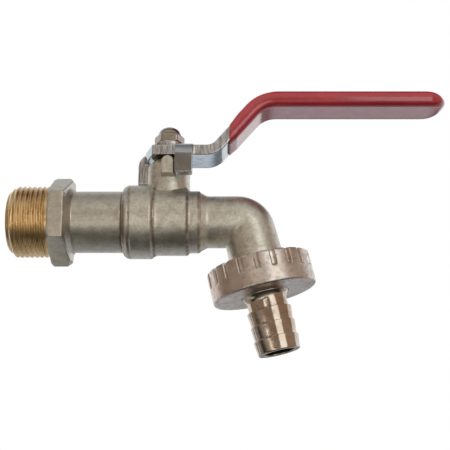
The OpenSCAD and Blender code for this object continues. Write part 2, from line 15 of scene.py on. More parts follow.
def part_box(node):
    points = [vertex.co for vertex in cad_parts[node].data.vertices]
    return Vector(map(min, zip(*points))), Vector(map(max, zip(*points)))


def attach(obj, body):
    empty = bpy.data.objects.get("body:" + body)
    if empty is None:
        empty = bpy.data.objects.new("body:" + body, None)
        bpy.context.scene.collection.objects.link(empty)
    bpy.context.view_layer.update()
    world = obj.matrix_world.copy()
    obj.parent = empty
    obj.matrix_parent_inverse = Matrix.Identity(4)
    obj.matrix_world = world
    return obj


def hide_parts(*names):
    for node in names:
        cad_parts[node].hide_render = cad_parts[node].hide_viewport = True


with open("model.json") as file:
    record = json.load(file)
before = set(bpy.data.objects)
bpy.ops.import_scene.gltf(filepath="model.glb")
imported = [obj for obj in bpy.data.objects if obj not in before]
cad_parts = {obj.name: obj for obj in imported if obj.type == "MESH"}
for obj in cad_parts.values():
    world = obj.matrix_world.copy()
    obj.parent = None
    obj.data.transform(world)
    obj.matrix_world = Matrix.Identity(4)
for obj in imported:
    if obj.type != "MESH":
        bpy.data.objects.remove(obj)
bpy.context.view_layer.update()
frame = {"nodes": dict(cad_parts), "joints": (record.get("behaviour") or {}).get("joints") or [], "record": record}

MM = 0.001

# Bodies, slots and places that the frame gives
BODY_OF = {
    node: body
    for body, nodes in frame["record"]["behaviour"]["bodies"].items()
    for node in nodes
}
SLOT_OF = {part["node"]: part["material_slot"] for part in frame["record"]["subparts"]}
NUT_TURN = next(joint for joint in frame["joints"] if joint["name"] == "nut_turn")
OUTLET_CORNER = Vector(NUT_TURN["pos_m"])
OUTLET_DOWN = Vector(NUT_TURN["axis"])
INLET_END_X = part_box("inlet_barrel")[0].x

# Camera, set to the photograph's view. The photo is 450 pixels square.
PHOTO_PX = 450
FOCAL_PX = 900
MM_PER_PX = 0.371
CAMERA_ELEVATION = math.radians(-17)
AIM = Vector((63.6, 0, -1.0)) * MM

# Middle of the studio along the barrel, and its floor, in metres
STUDIO_X = 0.06
FLOOR_Z = -0.2
FLOOR_SIZE = 6
# Colour that the floor shows, and the darker one that it lights undersides with
FLOOR_COLOUR = (0.95, 0.95, 0.95)
FLOOR_BOUNCE = (0.3, 0.3, 0.3)
# Soft lamps: centre, size, and power in watts
LAMPS = {
    "left_box": ((-0.35, -0.60, 0.10), (0.3, 0.3), 0.25),
    "front_box": ((0.05, -0.60, 0.36), (0.7, 0.28), 0.8),
}

# Curved cards round the object, for the brown room and the window that bright metal reflects.
# Start and end in degrees from the camera's side, positive to the right, lower and upper edge,
# colour, and strength
WALL_R = 0.7
WALLS = {
    "left_wall": (-115, 12, -0.22, 0.34, (0.29, 0.22, 0.165), 1.0),
    "window": (12, 44, -0.22, 0.34, (1, 0.99, 0.97), 1.5),
    "right_wall": (44, 105, -0.22, 0.4, (0.36, 0.26, 0.19), 1.0),
}
# Flat cards that only some faces reflect: centre, size, colour, and turn about X
UPRIGHT = math.pi / 2
CARDS = {
    "upper_strip": ((-0.04, -0.45, 0.013), (0.18, 0.032), (2.6, 2.5, 2.25), UPRIGHT),
    "lower_strip": ((-0.21, -0.54, -0.19), (0.36, 0.16), (2.2, 2.1, 1.9), 0),
    "hexagon_card": ((-0.085, 0.05, -0.19), (0.11, 0.2), (0.50, 0.48, 0.46), 0),
    "nut_card": ((0.31, 0.82, -0.095), (0.45, 0.2), (0.24, 0.25, 0.27), UPRIGHT),
    "grip_shade": ((0.20, 0.09, 0.22), (0.24, 0.24), (0.10, 0.035, 0.035), 0),
}
# Graded cards under and over the object: length along X, height, and colour by the place along Y.
# Seen from the photograph's side, the grip's underside reflects the low one at about 0.51, the
# lever's at 0.57 and the union nut's at 0.79.
GRADED_L = 3
LOW_CARD_Z = -0.195
LOW_CARD = [
    (-0.80, (1.00, 0.95, 0.86)),
    (-0.45, (0.72, 0.68, 0.61)),
    (-0.30, (0.38, 0.36, 0.32)),
    (-0.18, (0.15, 0.14, 0.12)),
    (-0.10, (0.05, 0.05, 0.045)),
    (-0.02, (0.03, 0.03, 0.025)),
    (0.02, (0.05, 0.05, 0.045)),
    (0.07, (0.20, 0.20, 0.20)),
    (0.14, (0.36, 0.36, 0.37)),
    (0.28, (0.42, 0.42, 0.42)),
    (0.38, (0.40, 0.41, 0.43)),
    (0.44, (0.60, 0.62, 0.66)),
    (0.50, (1.10, 1.13, 1.20)),
    (0.60, (0.56, 0.58, 0.61)),
    (0.68, (0.45, 0.47, 0.50)),
    (0.76, (0.22, 0.23, 0.25)),
    (1.20, (0.26, 0.27, 0.29)),
]
HIGH_CARD_Z = 0.45
HIGH_CARD = [
    (-1.20, (0.62, 0.59, 0.53)),
    (-0.42, (0.62, 0.59, 0.53)),
    (-0.20, (0.47, 0.44, 0.40)),
    (0.00, (0.25, 0.23, 0.22)),
    (0.12, (0.38, 0.37, 0.37)),
    (0.27, (0.66, 0.67, 0.70)),
    (0.60, (0.85, 0.87, 0.90)),
    (1.00, (0.95, 0.97, 1.00)),
]

# Dark seams on the forging: start, end and strength, in millimetres along the barrel
SEAMS = [(26.6, 27.0, 0.7), (28.6, 29.0, 0.5), (37.6, 37.9, 0.8), (49.7, 50.0, 0.8), (53.9, 54.2, 0.7)]
SEAM_DEPTH = 0.16
# They lie between these heights, so that the boss stays clear of them
SEAM_FOOT = -20
SEAM_TOP = 11.0
# Browns that satin plate takes on in blotches and in specks, the brown of the shade painted into its corners, and
# the brown of its seams
BLOTCH_BROWN = (0.50, 0.44, 0.37)
SPECK_BROWN = (0.46, 0.44, 0.37)
CORNER_SHADE_BROWN = (0.26, 0.18, 0.13)
SEAM_BROWN = (0.20, 0.125, 0.085)
# Brown that bright plate takes on in worn spots, and the brown of the shade painted into its corners
WORN_BROWN = (0.36, 0.26, 0.20)
HOLLOW_SHADE_BROWN = (0.40, 0.31, 0.23)
# Painted shade: brown in the hollows of bare brass, and grey in those of zinc
BRASS_HOLLOW_SHADE = (0.42, 0.25, 0.11)
ZINC_HOLLOW_SHADE = (0.26, 0.25, 0.23)
# Zinc on the strip's faces and on its sheared edges, and the grip's vinyl, each from dark to light
ZINC_FACE = (0.42, 0.47, 0.51), (0.51, 0.55, 0.58)
ZINC_EDGE = (0.37, 0.37, 0.38), (0.84, 0.84, 0.86)
VINYL = (0.33, 0.010, 0.020), (0.40, 0.014, 0.026)
# The lever's sheared edges lie within this distance of its middle, and its tabs' outer faces beyond
# it, in millimetres
EDGE_REACH = 7.6

# Pipe thread of the inlet, in metres: fourteen turns an inch, on the barrel's axis
PITCH = 25.4 * MM / 14
THREAD_R = 13.22 * MM
THREAD_DEPTH = 0.7 * MM
# Stretch before the hexagon over which it runs out
RUN_OUT = 1.2 * MM
# Cone that it starts with
LEAD_ANGLE = math.radians(42)
LEAD_DEPTH = 2.2 * MM
# A hair under the bore's radius, so that the cut thread's brass lines it as far as the hexagon
INLET_BORE_R = 7.47 * MM
LINING_END = -0.1 * MM
END_BEVEL = 0.4 * MM
# Points of its mesh, round it and along each turn
THREAD_AROUND = 192
THREAD_ALONG = 16
# How far under the root and behind the end face the plated cylinder is drawn in, and the length
# that its end is drawn in over
SUNK = 0.4 * MM
SUNK_END = 0.3 * MM
SUNK_L = 1.0 * MM
# From here to the hexagon it is left as it is
SUNK_START = -0.3 * MM
# How far the hexagon has to turn about the barrel to stand as the photograph's does
HEXAGON_TURN = math.radians(4.5)

# Grip, in metres: its rounded tip, and how round that is
TIP_L = 8 * MM
TIP_BLUNT = 0.95
TIP_POWER = 2.5
# Stretch of the strip inside it that is squeezed to end short of the tip
HIDDEN_L = 15 * MM
# How much its wall thins at its mouth, over what length, and how steeply the strip climbs there
MOUTH_THIN = 0.8 * MM
MOUTH_L = 3 * MM
MOUTH_SLOPE = 1.0
# Length of the mouth's rim that gives its middle height, and where the strip inside it is closed
RIM_L = 0.5 * MM
STRIP_INSET = 0.2 * MM

# Where the union nut's mouth stands along the outlet, in metres from the elbow's corner
NUT_MOUTH = 16.3 * MM
# Stretch before it where the flare is drawn in, and the plain tube's radius
FLARE_START = NUT_MOUTH * 0.6
OUTLET_TUBE_R = 10.05 * MM

# Union nut, in millimetres: radii of its outside, its bore and the hole in its floor
NUT_R = 19.05
NUT_BORE_R = 16.7
NUT_HOLE_R = 8.7
NUT_FLOOR = 1.95
# Rounds on its outside, on the hole's lower edge and in its inner corner
NUT_ROUND = 1.0
NUT_HOLE_ROUND = 0.3
NUT_CORNER_ROUND = 0.5
# Distance between the rings of its mesh
NUT_STEP = 0.35
# Its grip slots, open at the upper edge: the first one's turn as a share of the pitch between two,
# their width at the foot and at the mouth, and the length that they end over
SLOT_COUNT = 20
SLOT_PHASE = 0.3
SLOT_FOOT_W = 1.0
SLOT_MOUTH_W = 2.2
SLOT_DEPTH = 1.3
SLOT_L = 5.9
SLOT_END_L = 0.5
# Half of the stretch with close points across each slot, and the points there and between two slots
SLOT_NEAR = SLOT_MOUTH_W * 0.6
SLOT_POINTS = 16
LAND_POINTS = 9

# Hose tail, in millimetres: its flange, its collar in the nut's hole, its neck, barbs and bore
FLANGE_R = 16.3
FLANGE_T = 2
FLANGE_ROUND = 0.3
COLLAR_R = 8.6
COLLAR_OUT = 0.1
COLLAR_ROUND = 0.3
NECK_R = 7.3
NECK_OUT = 1.5
NECK_ROUND = 1.4
BARB_R = 8.2
BARB_FOOT_R = 7.6
BARB_L = 5.2
BARB_COUNT = 4
TAIL_BORE_R = 5.5
# Half of the length that a barb steps up over, and the round on the tail's lower end
BARB_STEP = 0.05
TAIL_END_ROUND = 0.4
# Distance between the rings of its mesh, and the points of each
TAIL_STEP = 0.4
TAIL_AROUND = 128

# Round on every other turned edge, in millimetres, and the lengths that a round is cut into
EDGE_ROUND = 0.2
ROUND_STEPS = 6

# Cap nut, in millimetres: across its flats, its front flat's direction in degrees, its dome, and
# its side as (radius, height)
CAP_NUT_AF = 10
CAP_NUT_FLAT_DEG = -88
CAP_NUT_DOME_R = 4.35
CAP_NUT_SIDE = [
    (5.0, 0), (5.5, 0.3), (5.8, 0.6), (5.8, 2.9), (4.7, 3.5), (CAP_NUT_DOME_R, 3.55),
]
DOME_STEPS = 16
CAP_NUT_AROUND = 96

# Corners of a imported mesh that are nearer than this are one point, in metres
WELD_REACH = 1e-7
# Sockets of a Mix node for colours
MIX_A = 6
MIX_B = 7
MIX_RESULT = 2


def add_camera():
    """Looks along +Y and up by the photograph's angle, with the aim point in the middle."""
    camera = bpy.data.cameras.new("camera")
    camera.sensor_width = 36
    camera.lens = camera.sensor_width * FOCAL_PX / PHOTO_PX
    camera.clip_start = 0.01
    rig = bpy.data.objects.new("camera", camera)
    distance = FOCAL_PX * MM_PER_PX * MM
    back = Vector((0, -math.cos(CAMERA_ELEVATION), math.sin(CAMERA_ELEVATION)))
    up = Vector((0, math.sin(CAMERA_ELEVATION), math.cos(CAMERA_ELEVATION)))
    rig.rotation_euler = (math.pi / 2 - CAMERA_ELEVATION, 0, 0)
    rig.location = Vector((AIM.x, 0, 0)) + up * AIM.z + back * distance
    bpy.context.collection.objects.link(rig)
    bpy.context.scene.camera = rig


def sheet(name, centre, size_x, size_y, turn_x=0.0):
    """Flat rectangle round a centre, turned about X."""
    mesh = bpy.data.meshes.new(name)
    x = size_x / 2
    y = size_y / 2
    mesh.from_pydata([(-x, -y, 0), (x, -y, 0), (x, y, 0), (-x, y, 0)], [], [(0, 1, 2, 3)])
    made = bpy.data.objects.new(name, mesh)
    made.location = centre
    made.rotation_euler = (turn_x, 0, 0)
    bpy.context.collection.objects.link(made)
    return made


def add_floor():
    """Pale floor that keeps the shadow. Its bounce is held down, so that undersides stay darker."""
    floor = sheet("floor", (STUDIO_X, 0, FLOOR_Z), FLOOR_SIZE, FLOOR_SIZE)
    material = bpy.data.materials.new("floor")
    material.use_nodes = True
    tree = material.node_tree
    shader = tree.nodes["Principled BSDF"]
    shader.inputs["Roughness"].default_value = 0.9
    path = tree.nodes.new("ShaderNodeLightPath")
    shade = tree.nodes.new("ShaderNodeMix")
    shade.data_type = "RGBA"
    shade.inputs[MIX_A].default_value = (*FLOOR_COLOUR, 1)
    shade.inputs[MIX_B].default_value = (*FLOOR_BOUNCE, 1)
    tree.links.new(path.outputs["Is Diffuse Ray"], shade.inputs["Factor"])
    tree.links.new(shade.outputs[MIX_RESULT], shader.inputs["Base Color"])
    # Clear from below, so that it doesn't hide the object there
    side = tree.nodes.new("ShaderNodeNewGeometry")
    clear = tree.nodes.new("ShaderNodeBsdfTransparent")
    either = tree.nodes.new("ShaderNodeMixShader")
    tree.links.new(side.outputs["Backfacing"], either.inputs["Fac"])
    tree.links.new(shader.outputs[0], either.inputs[1])
    tree.links.new(clear.outputs[0], either.inputs[2])
    tree.links.new(either.outputs[0], tree.nodes["Material Output"].inputs["Surface"])
    floor.data.materials.append(material)


def glow_for_reflections(piece, stops):
    """Gives a studio card a glow that only reflections see, changing along Y from stop to stop."""
    material = bpy.data.materials.new(piece.name)
    material.use_nodes = True
    tree = material.node_tree
    tree.nodes.clear()
    glow = tree.nodes.new("ShaderNodeEmission")
    output = tree.nodes.new("ShaderNodeOutputMaterial")
    tree.links.new(glow.outputs[0], output.inputs["Surface"])
    glow.inputs["Color"].default_value = (*stops[0][1], 1)
    if len(stops) > 1:
        first, last = stops[0][0], stops[-1][0]
        place = tree.nodes.new("ShaderNodeTexCoord")
        split = tree.nodes.new("ShaderNodeSeparateXYZ")
        along = tree.nodes.new("ShaderNodeMapRange")
        along.inputs["From Min"].default_value = first - piece.location.y
        along.inputs["From Max"].default_value = last - piece.location.y
        ramp = tree.nodes.new("ShaderNodeValToRGB")
        while len(ramp.color_ramp.elements) < len(stops):
            ramp.color_ramp.elements.new(0.5)
        for element, (y, level) in zip(ramp.color_ramp.elements, stops):
            element.position = (y - first) / (last - first)
            element.color = (*level, 1)
        tree.links.new(place.outputs["Object"], split.inputs[0])
        tree.links.new(split.outputs["Y"], along.inputs["Value"])
        tree.links.new(along.outputs["Result"], ramp.inputs["Fac"])
        tree.links.new(ramp.outputs["Color"], glow.inputs["Color"])
    piece.data.materials.append(material)
    piece.visible_camera = False
    piece.visible_diffuse = False
    piece.visible_transmission = False
    piece.visible_shadow = False
    return glow


def add_wall(name, start_deg, end_deg, low, high, level, strength):
    """Curved card round the object, which only reflections see."""
    steps = 24
    vertices = []
    for i in range(steps + 1):
        angle = math.radians(start_deg + (end_deg - start_deg) * i / steps)
        x = STUDIO_X + WALL_R * math.sin(angle)
        y = -WALL_R * math.cos(angle)
        vertices += [(x, y, low), (x, y, high)]
    faces = [(2 * i, 2 * i + 2, 2 * i + 3, 2 * i + 1) for i in range(steps)]
    mesh = bpy.data.meshes.new(name)
    mesh.from_pydata(vertices, [], faces)
    wall = bpy.data.objects.new(name, mesh)
    bpy.context.collection.objects.link(wall)
    glow_for_reflections(wall, [(0, level)]).inputs["Strength"].default_value = strength


def add_card(name, centre, size, level, turn_x):
    """Small flat card that only reflections see."""
    glow_for_reflections(sheet(name, centre, *size, turn_x), [(0, level)])


def add_graded_card(name, z, stops):
    """Large level card that only reflections see, from its first stop along Y to its last."""
    first, last = stops[0][0], stops[-1][0]
    card = sheet(name, (STUDIO_X, (first + last) / 2, z), GRADED_L, last - first)
    glow_for_reflections(card, stops)


def add_lamp(name, centre, size, watts):
    """Soft lamp that is turned to the object, and that reflections don't see."""
    lamp = bpy.data.lights.new(name, "AREA")
    lamp.shape = "RECTANGLE"
    lamp.size, lamp.size_y = size
    lamp.energy = watts
    holder = bpy.data.objects.new(name, lamp)
    holder.location = centre
    aim = Vector((STUDIO_X, 0, 0)) - Vector(centre)
    holder.rotation_euler = aim.to_track_quat("-Z", "Y").to_euler()
    bpy.context.collection.objects.link(holder)
    holder.visible_glossy = False


def add_light():
    """White surroundings, soft lamps, and the cards that metal and vinyl reflect."""
    world = bpy.data.worlds.new("studio")
    bpy.context.scene.world = world
    world.use_nodes = True
    background = world.node_tree.nodes["Background"]
    background.inputs["Color"].default_value = (1, 1, 1, 1)
    background.inputs["Strength"].default_value = 1.0
    for name, lamp in LAMPS.items():
        add_lamp(name, *lamp)
    for name, wall in WALLS.items():
        add_wall(name, *wall)
    for name, card in CARDS.items():
        add_card(name, *card)
    add_graded_card("low_card", LOW_CARD_Z, LOW_CARD)
    add_graded_card("high_card", HIGH_CARD_Z, HIGH_CARD)


class Finish:
    """A procedural surface. Lengths in its textures are millimetres of the object.

    Its roughness is the plain one, which most finishes then vary.
    """

    def __init__(self, name, metallic, roughness):
        self.material = bpy.data.materials.new(name)
        self.material.use_nodes = True
        self.tree = self.material.node_tree
        self.shader = self.tree.nodes["Principled BSDF"]
        self.shader.inputs["Metallic"].default_value = metallic
        self.shader.inputs["Roughness"].default_value = roughness
        self.place = self.tree.nodes.new("ShaderNodeTexCoord").outputs["Object"]

    def node(self, kind, **settings):
        """New node with some of its settings."""
        made = self.tree.nodes.new(kind)
        for key, value in settings.items():
            setattr(made, key, value)
        return made

    def link(self, start, end):
        self.tree.links.new(start, end)

    def noise(self, per_mm, detail, stretch=(1, 1, 1)):
        """Noise with a number of grains to the millimetre, stretched by an axis each."""
        mapping = self.node("ShaderNodeMapping")
        mapping.inputs["Scale"].default_value = [per_mm / MM / s for s in stretch]
        self.link(self.place, mapping.inputs["Vector"])
        texture = self.node("ShaderNodeTexNoise")
        texture.inputs["Scale"].default_value = 1.0
        texture.inputs["Detail"].default_value = detail
        self.link(mapping.outputs[0], texture.inputs["Vector"])
        return texture.outputs["Fac"]

    def spread(self, value, low, high, to_low=0.0, to_high=1.0):
        """Value clamped between two levels and spread over two others."""
        ramp = self.node("ShaderNodeMapRange")
        ramp.inputs["From Min"].default_value = low
        ramp.inputs["From Max"].default_value = high
        ramp.inputs["To Min"].default_value = to_low
        ramp.inputs["To Max"].default_value = to_high
        self.link(value, ramp.inputs["Value"])
        return ramp.outputs["Result"]

    def product(self, a, b):
        made = self.node("ShaderNodeMath", operation="MULTIPLY")
        self.link(a, made.inputs[0])
        self.link(b, made.inputs[1])
        return made.outputs[0]

    def blend(self, amount, low, high):
        """Mix of two colours, each a tuple or the output of another mix."""
        mix = self.node("ShaderNodeMix", data_type="RGBA")
        self.link(amount, mix.inputs["Factor"])
        for value, socket in ((low, mix.inputs[MIX_A]), (high, mix.inputs[MIX_B])):
            if isinstance(value, tuple):
                socket.default_value = (*value, 1)
            else:
                self.link(value, socket)
        return mix.outputs[MIX_RESULT]

    def painted_shade_mask(self, distance_mm, low, high):
        """Mask for painted shade: one in tight corners and grooves, where shade falls, nothing on open surfaces.
        """
        hollow = self.node("ShaderNodeAmbientOcclusion", samples=8)
        hollow.inputs["Distance"].default_value = distance_mm * MM
        return self.spread(hollow.outputs["AO"], low, high, 1.0, 0.0)

    def colour(self, output):
        self.link(output, self.shader.inputs["Base Color"])

    def roughness(self, value, low, high):
        """Roughness between two levels, by a noise."""
        self.link(self.spread(value, 0.3, 0.7, low, high), self.shader.inputs["Roughness"])

    def bump(self, layers):
        """Bump layers of (height output, depth in millimetres)."""
        normal = None
        for height, depth_mm in layers:
            bump = self.node("ShaderNodeBump")
            bump.inputs["Distance"].default_value = depth_mm * MM
            self.link(height, bump.inputs["Height"])
            if normal is not None:
                self.link(normal, bump.inputs["Normal"])
            normal = bump.outputs["Normal"]
        self.link(normal, self.shader.inputs["Normal"])

    def band(self, axis, start_mm, end_mm, fade_mm):
        """One between two places along an axis, fading out on both sides."""
        split = self.node("ShaderNodeSeparateXYZ")
        self.link(self.place, split.inputs[0])
        along = split.outputs[axis]
        rise = self.spread(along, (start_mm - fade_mm) * MM, start_mm * MM)
        fall = self.spread(along, end_mm * MM, (end_mm + fade_mm) * MM, 1.0, 0.0)
        return self.product(rise, fall)


def satin_nickel(name, shade, pale):
    """Blasted nickel plate with brown seams, and with shade painted in brown into its corners and steps."""
    finish = Finish(name, 1.0, 0.4)
    cloud = finish.noise(0.12, 3)
    blotch = finish.noise(0.4, 3)
    grain = finish.noise(1.3, 4)
    base = finish.blend(finish.spread(cloud, 0.35, 0.65), shade, pale)
    blotched = finish.blend(finish.spread(blotch, 0.45, 0.85), base, BLOTCH_BROWN)
    speckled = finish.blend(finish.spread(grain, 0.42, 0.95), blotched, SPECK_BROWN)
    # Painted shade: brown where the surface is hemmed in, in its corners and steps
    brown = finish.blend(finish.painted_shade_mask(1.8, 0.3, 0.85), speckled, CORNER_SHADE_BROWN)
    below_boss = finish.band("Z", SEAM_FOOT, SEAM_TOP, 1.2)
    hollows = []
    for start, end, strength in SEAMS:
        streaky = finish.product(
            finish.product(finish.band("X", start, end, 0.7), below_boss),
            finish.spread(finish.noise(0.5, 3), 0.3, 0.6, 0.35 * strength, strength),
        )
        brown = finish.blend(streaky, brown, SEAM_BROWN)
        groove = finish.product(finish.band("X", start, end, 0.5), below_boss)
        hollows.append((finish.spread(groove, 0, 1, 1, 0), SEAM_DEPTH))
    finish.colour(brown)
    finish.roughness(cloud, 0.36, 0.44)
    finish.bump([(finish.noise(0.8, 4), 0.04), (grain, 0.012)] + hollows)
    return finish.material


def bright_nickel(name, dull, bright, roughness, wear):
    """Nickel plate over turned brass, browner in soft patches, with slight waves left by the tool."""
    finish = Finish(name, 1.0, roughness)
    patch = finish.noise(0.12, 3)
    mottle = finish.noise(0.6, 5)
    base = finish.blend(finish.spread(patch, 0.4, 0.62), dull, bright)
    spotted = finish.blend(finish.spread(mottle, 0.48, 0.72, 0, wear), base, WORN_BROWN)
    # Painted shade: brown in tight corners and hollows
    finish.colour(finish.blend(finish.painted_shade_mask(1.2, 0.1, 0.7), spotted, HOLLOW_SHADE_BROWN))
    finish.roughness(mottle, roughness * 0.85, roughness * 1.25)
    finish.bump([(finish.noise(0.25, 3), 0.05)])
    return finish.material


def raw_brass(name, dull, bright):
    """Cut brass, golden on its crests, with shade painted in brown into its roots."""
    finish = Finish(name, 1.0, 0.25)
    cloud = finish.noise(0.25, 4)
    base = finish.blend(finish.spread(cloud, 0.35, 0.65), dull, bright)
    # Painted shade: brown in the thread's roots and other hollows
    finish.colour(finish.blend(finish.painted_shade_mask(1.0, 0.1, 0.8), base, BRASS_HOLLOW_SHADE))
    finish.roughness(cloud, 0.24, 0.32)
    finish.bump([(finish.noise(1.2, 3), 0.008)])
    return finish.material


def zinc_steel():
    """Bright zinc plate, smooth on the strip's faces and grained on its sheared edges."""
    finish = Finish("zinc_steel", 1.0, 0.18)
    cloud = finish.noise(0.35, 4)
    base = finish.blend(finish.spread(cloud, 0.35, 0.65), *ZINC_FACE)
    split = finish.node("ShaderNodeSeparateXYZ")
    finish.link(finish.node("ShaderNodeTexCoord").outputs["Normal"], split.inputs[0])
    side = finish.node("ShaderNodeMath", operation="ABSOLUTE")
    finish.link(split.outputs["Y"], side.inputs[0])
    strip = finish.band("Y", -EDGE_REACH, EDGE_REACH, 0.2)
    edge = finish.product(finish.spread(side.outputs[0], 0.7, 0.95), strip)
    shear = finish.noise(1.3, 4, stretch=(0.5, 1, 6))
    worn = finish.blend(finish.spread(shear, 0.35, 0.65), *ZINC_EDGE)
    tint = finish.blend(edge, base, worn)
    # Painted shade: grey in the lever's tight corners and hollows
    finish.colour(finish.blend(finish.painted_shade_mask(0.7, 0.0, 0.6), tint, ZINC_HOLLOW_SHADE))
    finish.link(finish.spread(edge, 0, 1, 0.12, 0.3), finish.shader.inputs["Roughness"])
    finish.bump([(finish.product(edge, shear), 0.05), (finish.noise(0.25, 2), 0.06)])
    return finish.material


def red_vinyl():
    """Glossy dipped vinyl with slight waves in its skin."""
    finish = Finish("red_vinyl", 0.0, 0.2)
    cloud = finish.noise(0.08, 3)
    finish.colour(finish.blend(finish.spread(cloud, 0.3, 0.7), *VINYL))
    finish.roughness(finish.noise(0.2, 3), 0.14, 0.24)
    finish.shader.inputs["IOR"].default_value = 1.54
    finish.shader.inputs["Coat Weight"].default_value = 1.0
    finish.shader.inputs["Coat Roughness"].default_value = 0.1
    finish.bump([(finish.noise(0.07, 2), 0.2)])
    return finish.material


def soft_plastic(name, dark, light, roughness):
    """Matt moulded seal or washer with a little mottling."""
    finish = Finish(name, 0.0, roughness)
    cloud = finish.noise(0.5, 3)
    finish.colour(finish.blend(finish.spread(cloud, 0.3, 0.7), dark, light))
    finish.bump([(finish.noise(2.0, 3), 0.01)])
    return finish.material


def welded(mesh):
    """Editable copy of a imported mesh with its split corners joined, so that its surface is closed."""
    joined = bmesh.new()
    joined.from_mesh(mesh)
    bmesh.ops.remove_doubles(joined, verts=joined.verts, dist=WELD_REACH)
    return joined


def copy_of(name):
    """New piece with a CAD node's mesh, welded."""
    piece = bpy.data.objects.new(name + "_worked", frame["nodes"][name].data.copy())
    bpy.context.collection.objects.link(piece)
    joined = welded(piece.data)
    joined.to_mesh(piece.data)
    joined.free()
    return piece


def settle(piece):
    """Makes the result of the piece's modifiers its own mesh."""
    view = bpy.context.evaluated_depsgraph_get()
    mesh = bpy.data.meshes.new_from_object(piece.evaluated_get(view))
    piece.modifiers.clear()
    piece.data = mesh


def remesh(piece, voxel):
    """Even mesh over everything that the piece's closed surfaces enclose."""
    modifier = piece.modifiers.new("remesh", "REMESH")
    modifier.mode = "VOXEL"
    modifier.voxel_size = voxel * MM
    settle(piece)


def remesh_sharp(piece, voxel):
    """Even mesh that keeps the piece's sharp edges straight, for one closed surface."""
    cells = max(piece.dimensions) / (voxel * MM)
    depth = math.ceil(math.log2(cells))
    modifier = piece.modifiers.new("remesh", "REMESH")
    modifier.mode = "SHARP"
    modifier.octree_depth = depth
    # Blender takes no scale over 0.99
    modifier.scale = min(cells / 2 ** depth, 0.99)
    modifier.use_remove_disconnected = False
    settle(piece)


def relax(piece, rounds):
    """Smooths the piece, which rounds its edges."""
    modifier = piece.modifiers.new("smooth", "SMOOTH")
    modifier.iterations = rounds
    modifier.factor = 0.5
    settle(piece)


class Work(NamedTuple):
    """How a piece's edges are worked round, and the functions that reshape it on the way."""

    # Size of the even mesh's cells in millimetres, and rounds of smoothing
    voxel: float
    rounds: int
    # Whether the even mesh follows its sharp edges
    sharp: bool = False
    # What reshapes it before the even mesh is made, after that, and after the smoothing
    before: tuple = ()
    between: tuple = ()
    after: tuple = ()


def worked(name, work):
    """Copy of a CAD node's mesh with its edges worked round, as forging and polishing do."""
    piece = copy_of(name)
    for reshape in work.before:
        reshape(piece)
    if work.sharp:
        remesh_sharp(piece, work.voxel)
    else:
        remesh(piece, work.voxel)
    for reshape in work.between:
        reshape(piece)
    relax(piece, work.rounds)
    for reshape in work.after:
        reshape(piece)
    piece.data.shade_smooth()
    return piece


def outline(corners, step):
    """Closed outline of (along, radius) through corners that have a round-off each."""
    turned = []
    for i, (along, r, round_off) in enumerate(corners):
        here = Vector((along, r))
        to_last = (Vector(corners[i - 1][:2]) - here).normalized()
        to_next = (Vector(corners[(i + 1) % len(corners)][:2]) - here).normalized()
        for k in range(ROUND_STEPS + 1):
            t = k / ROUND_STEPS
            turned.append(here + to_last * round_off * (1 - t) ** 2 + to_next * round_off * t * t)
    points = []
    for i, point in enumerate(turned):
        following = turned[(i + 1) % len(turned)]
        pieces = max(1, math.ceil((following - point).length / step))
        points += [point.lerp(following, k / pieces) for k in range(pieces)]
    return points


def ring_faces(around, links):
    """Faces that join rings of points, each link being the numbers of two rings."""
    faces = []
    for ring, following in links:
        for k in range(around):
            beside = (k + 1) % around
            faces.append((
                ring * around + k, ring * around + beside,
                following * around + beside, following * around + k,
            ))
    return faces


def wrapped(name, rings):
    """Closed piece over rings of as many points each, joined round and from the last to the first."""
    links = [(i, (i + 1) % len(rings)) for i in range(len(rings))]
    mesh = bpy.data.meshes.new(name)
    mesh.from_pydata([point for ring in rings for point in ring], [], ring_faces(len(rings[0]), links))
    fixed = bmesh.new()
    fixed.from_mesh(mesh)
    bmesh.ops.recalc_face_normals(fixed, faces=fixed.faces)
    fixed.to_mesh(mesh)
    fixed.free()
    mesh.shade_smooth()
    piece = bpy.data.objects.new(name, mesh)
    bpy.context.collection.objects.link(piece)
    return piece


def along_outlet(name):
    """Where a CAD node starts and ends along the outlet, in millimetres from the elbow's corner."""
    along = [(v.co - OUTLET_CORNER).dot(OUTLET_DOWN) / MM for v in frame["nodes"][name].data.vertices]
    return min(along), max(along)


def outlet_point(along, r, angle):
    """Point round the outlet's axis, from millimetres to metres."""
    side = Vector((0, 1, 0)).cross(OUTLET_DOWN)
    off = side * math.cos(angle) + Vector((0, math.sin(angle), 0))
    return OUTLET_CORNER + (OUTLET_DOWN * along + off * r) * MM


def soft_step(t):
    """Smooth rise from nothing to one."""
    t = min(1, max(0, t))
    return t * t * (3 - 2 * t)


def slot_offsets(pitch):
    """Places round the nut over one slot and the land after it, in millimetres from the slot."""
    slot = [-SLOT_NEAR + 2 * SLOT_NEAR * k / SLOT_POINTS for k in range(SLOT_POINTS)]
    land = [SLOT_NEAR + (pitch - 2 * SLOT_NEAR) * k / LAND_POINTS for k in range(LAND_POINTS)]
    return slot + land


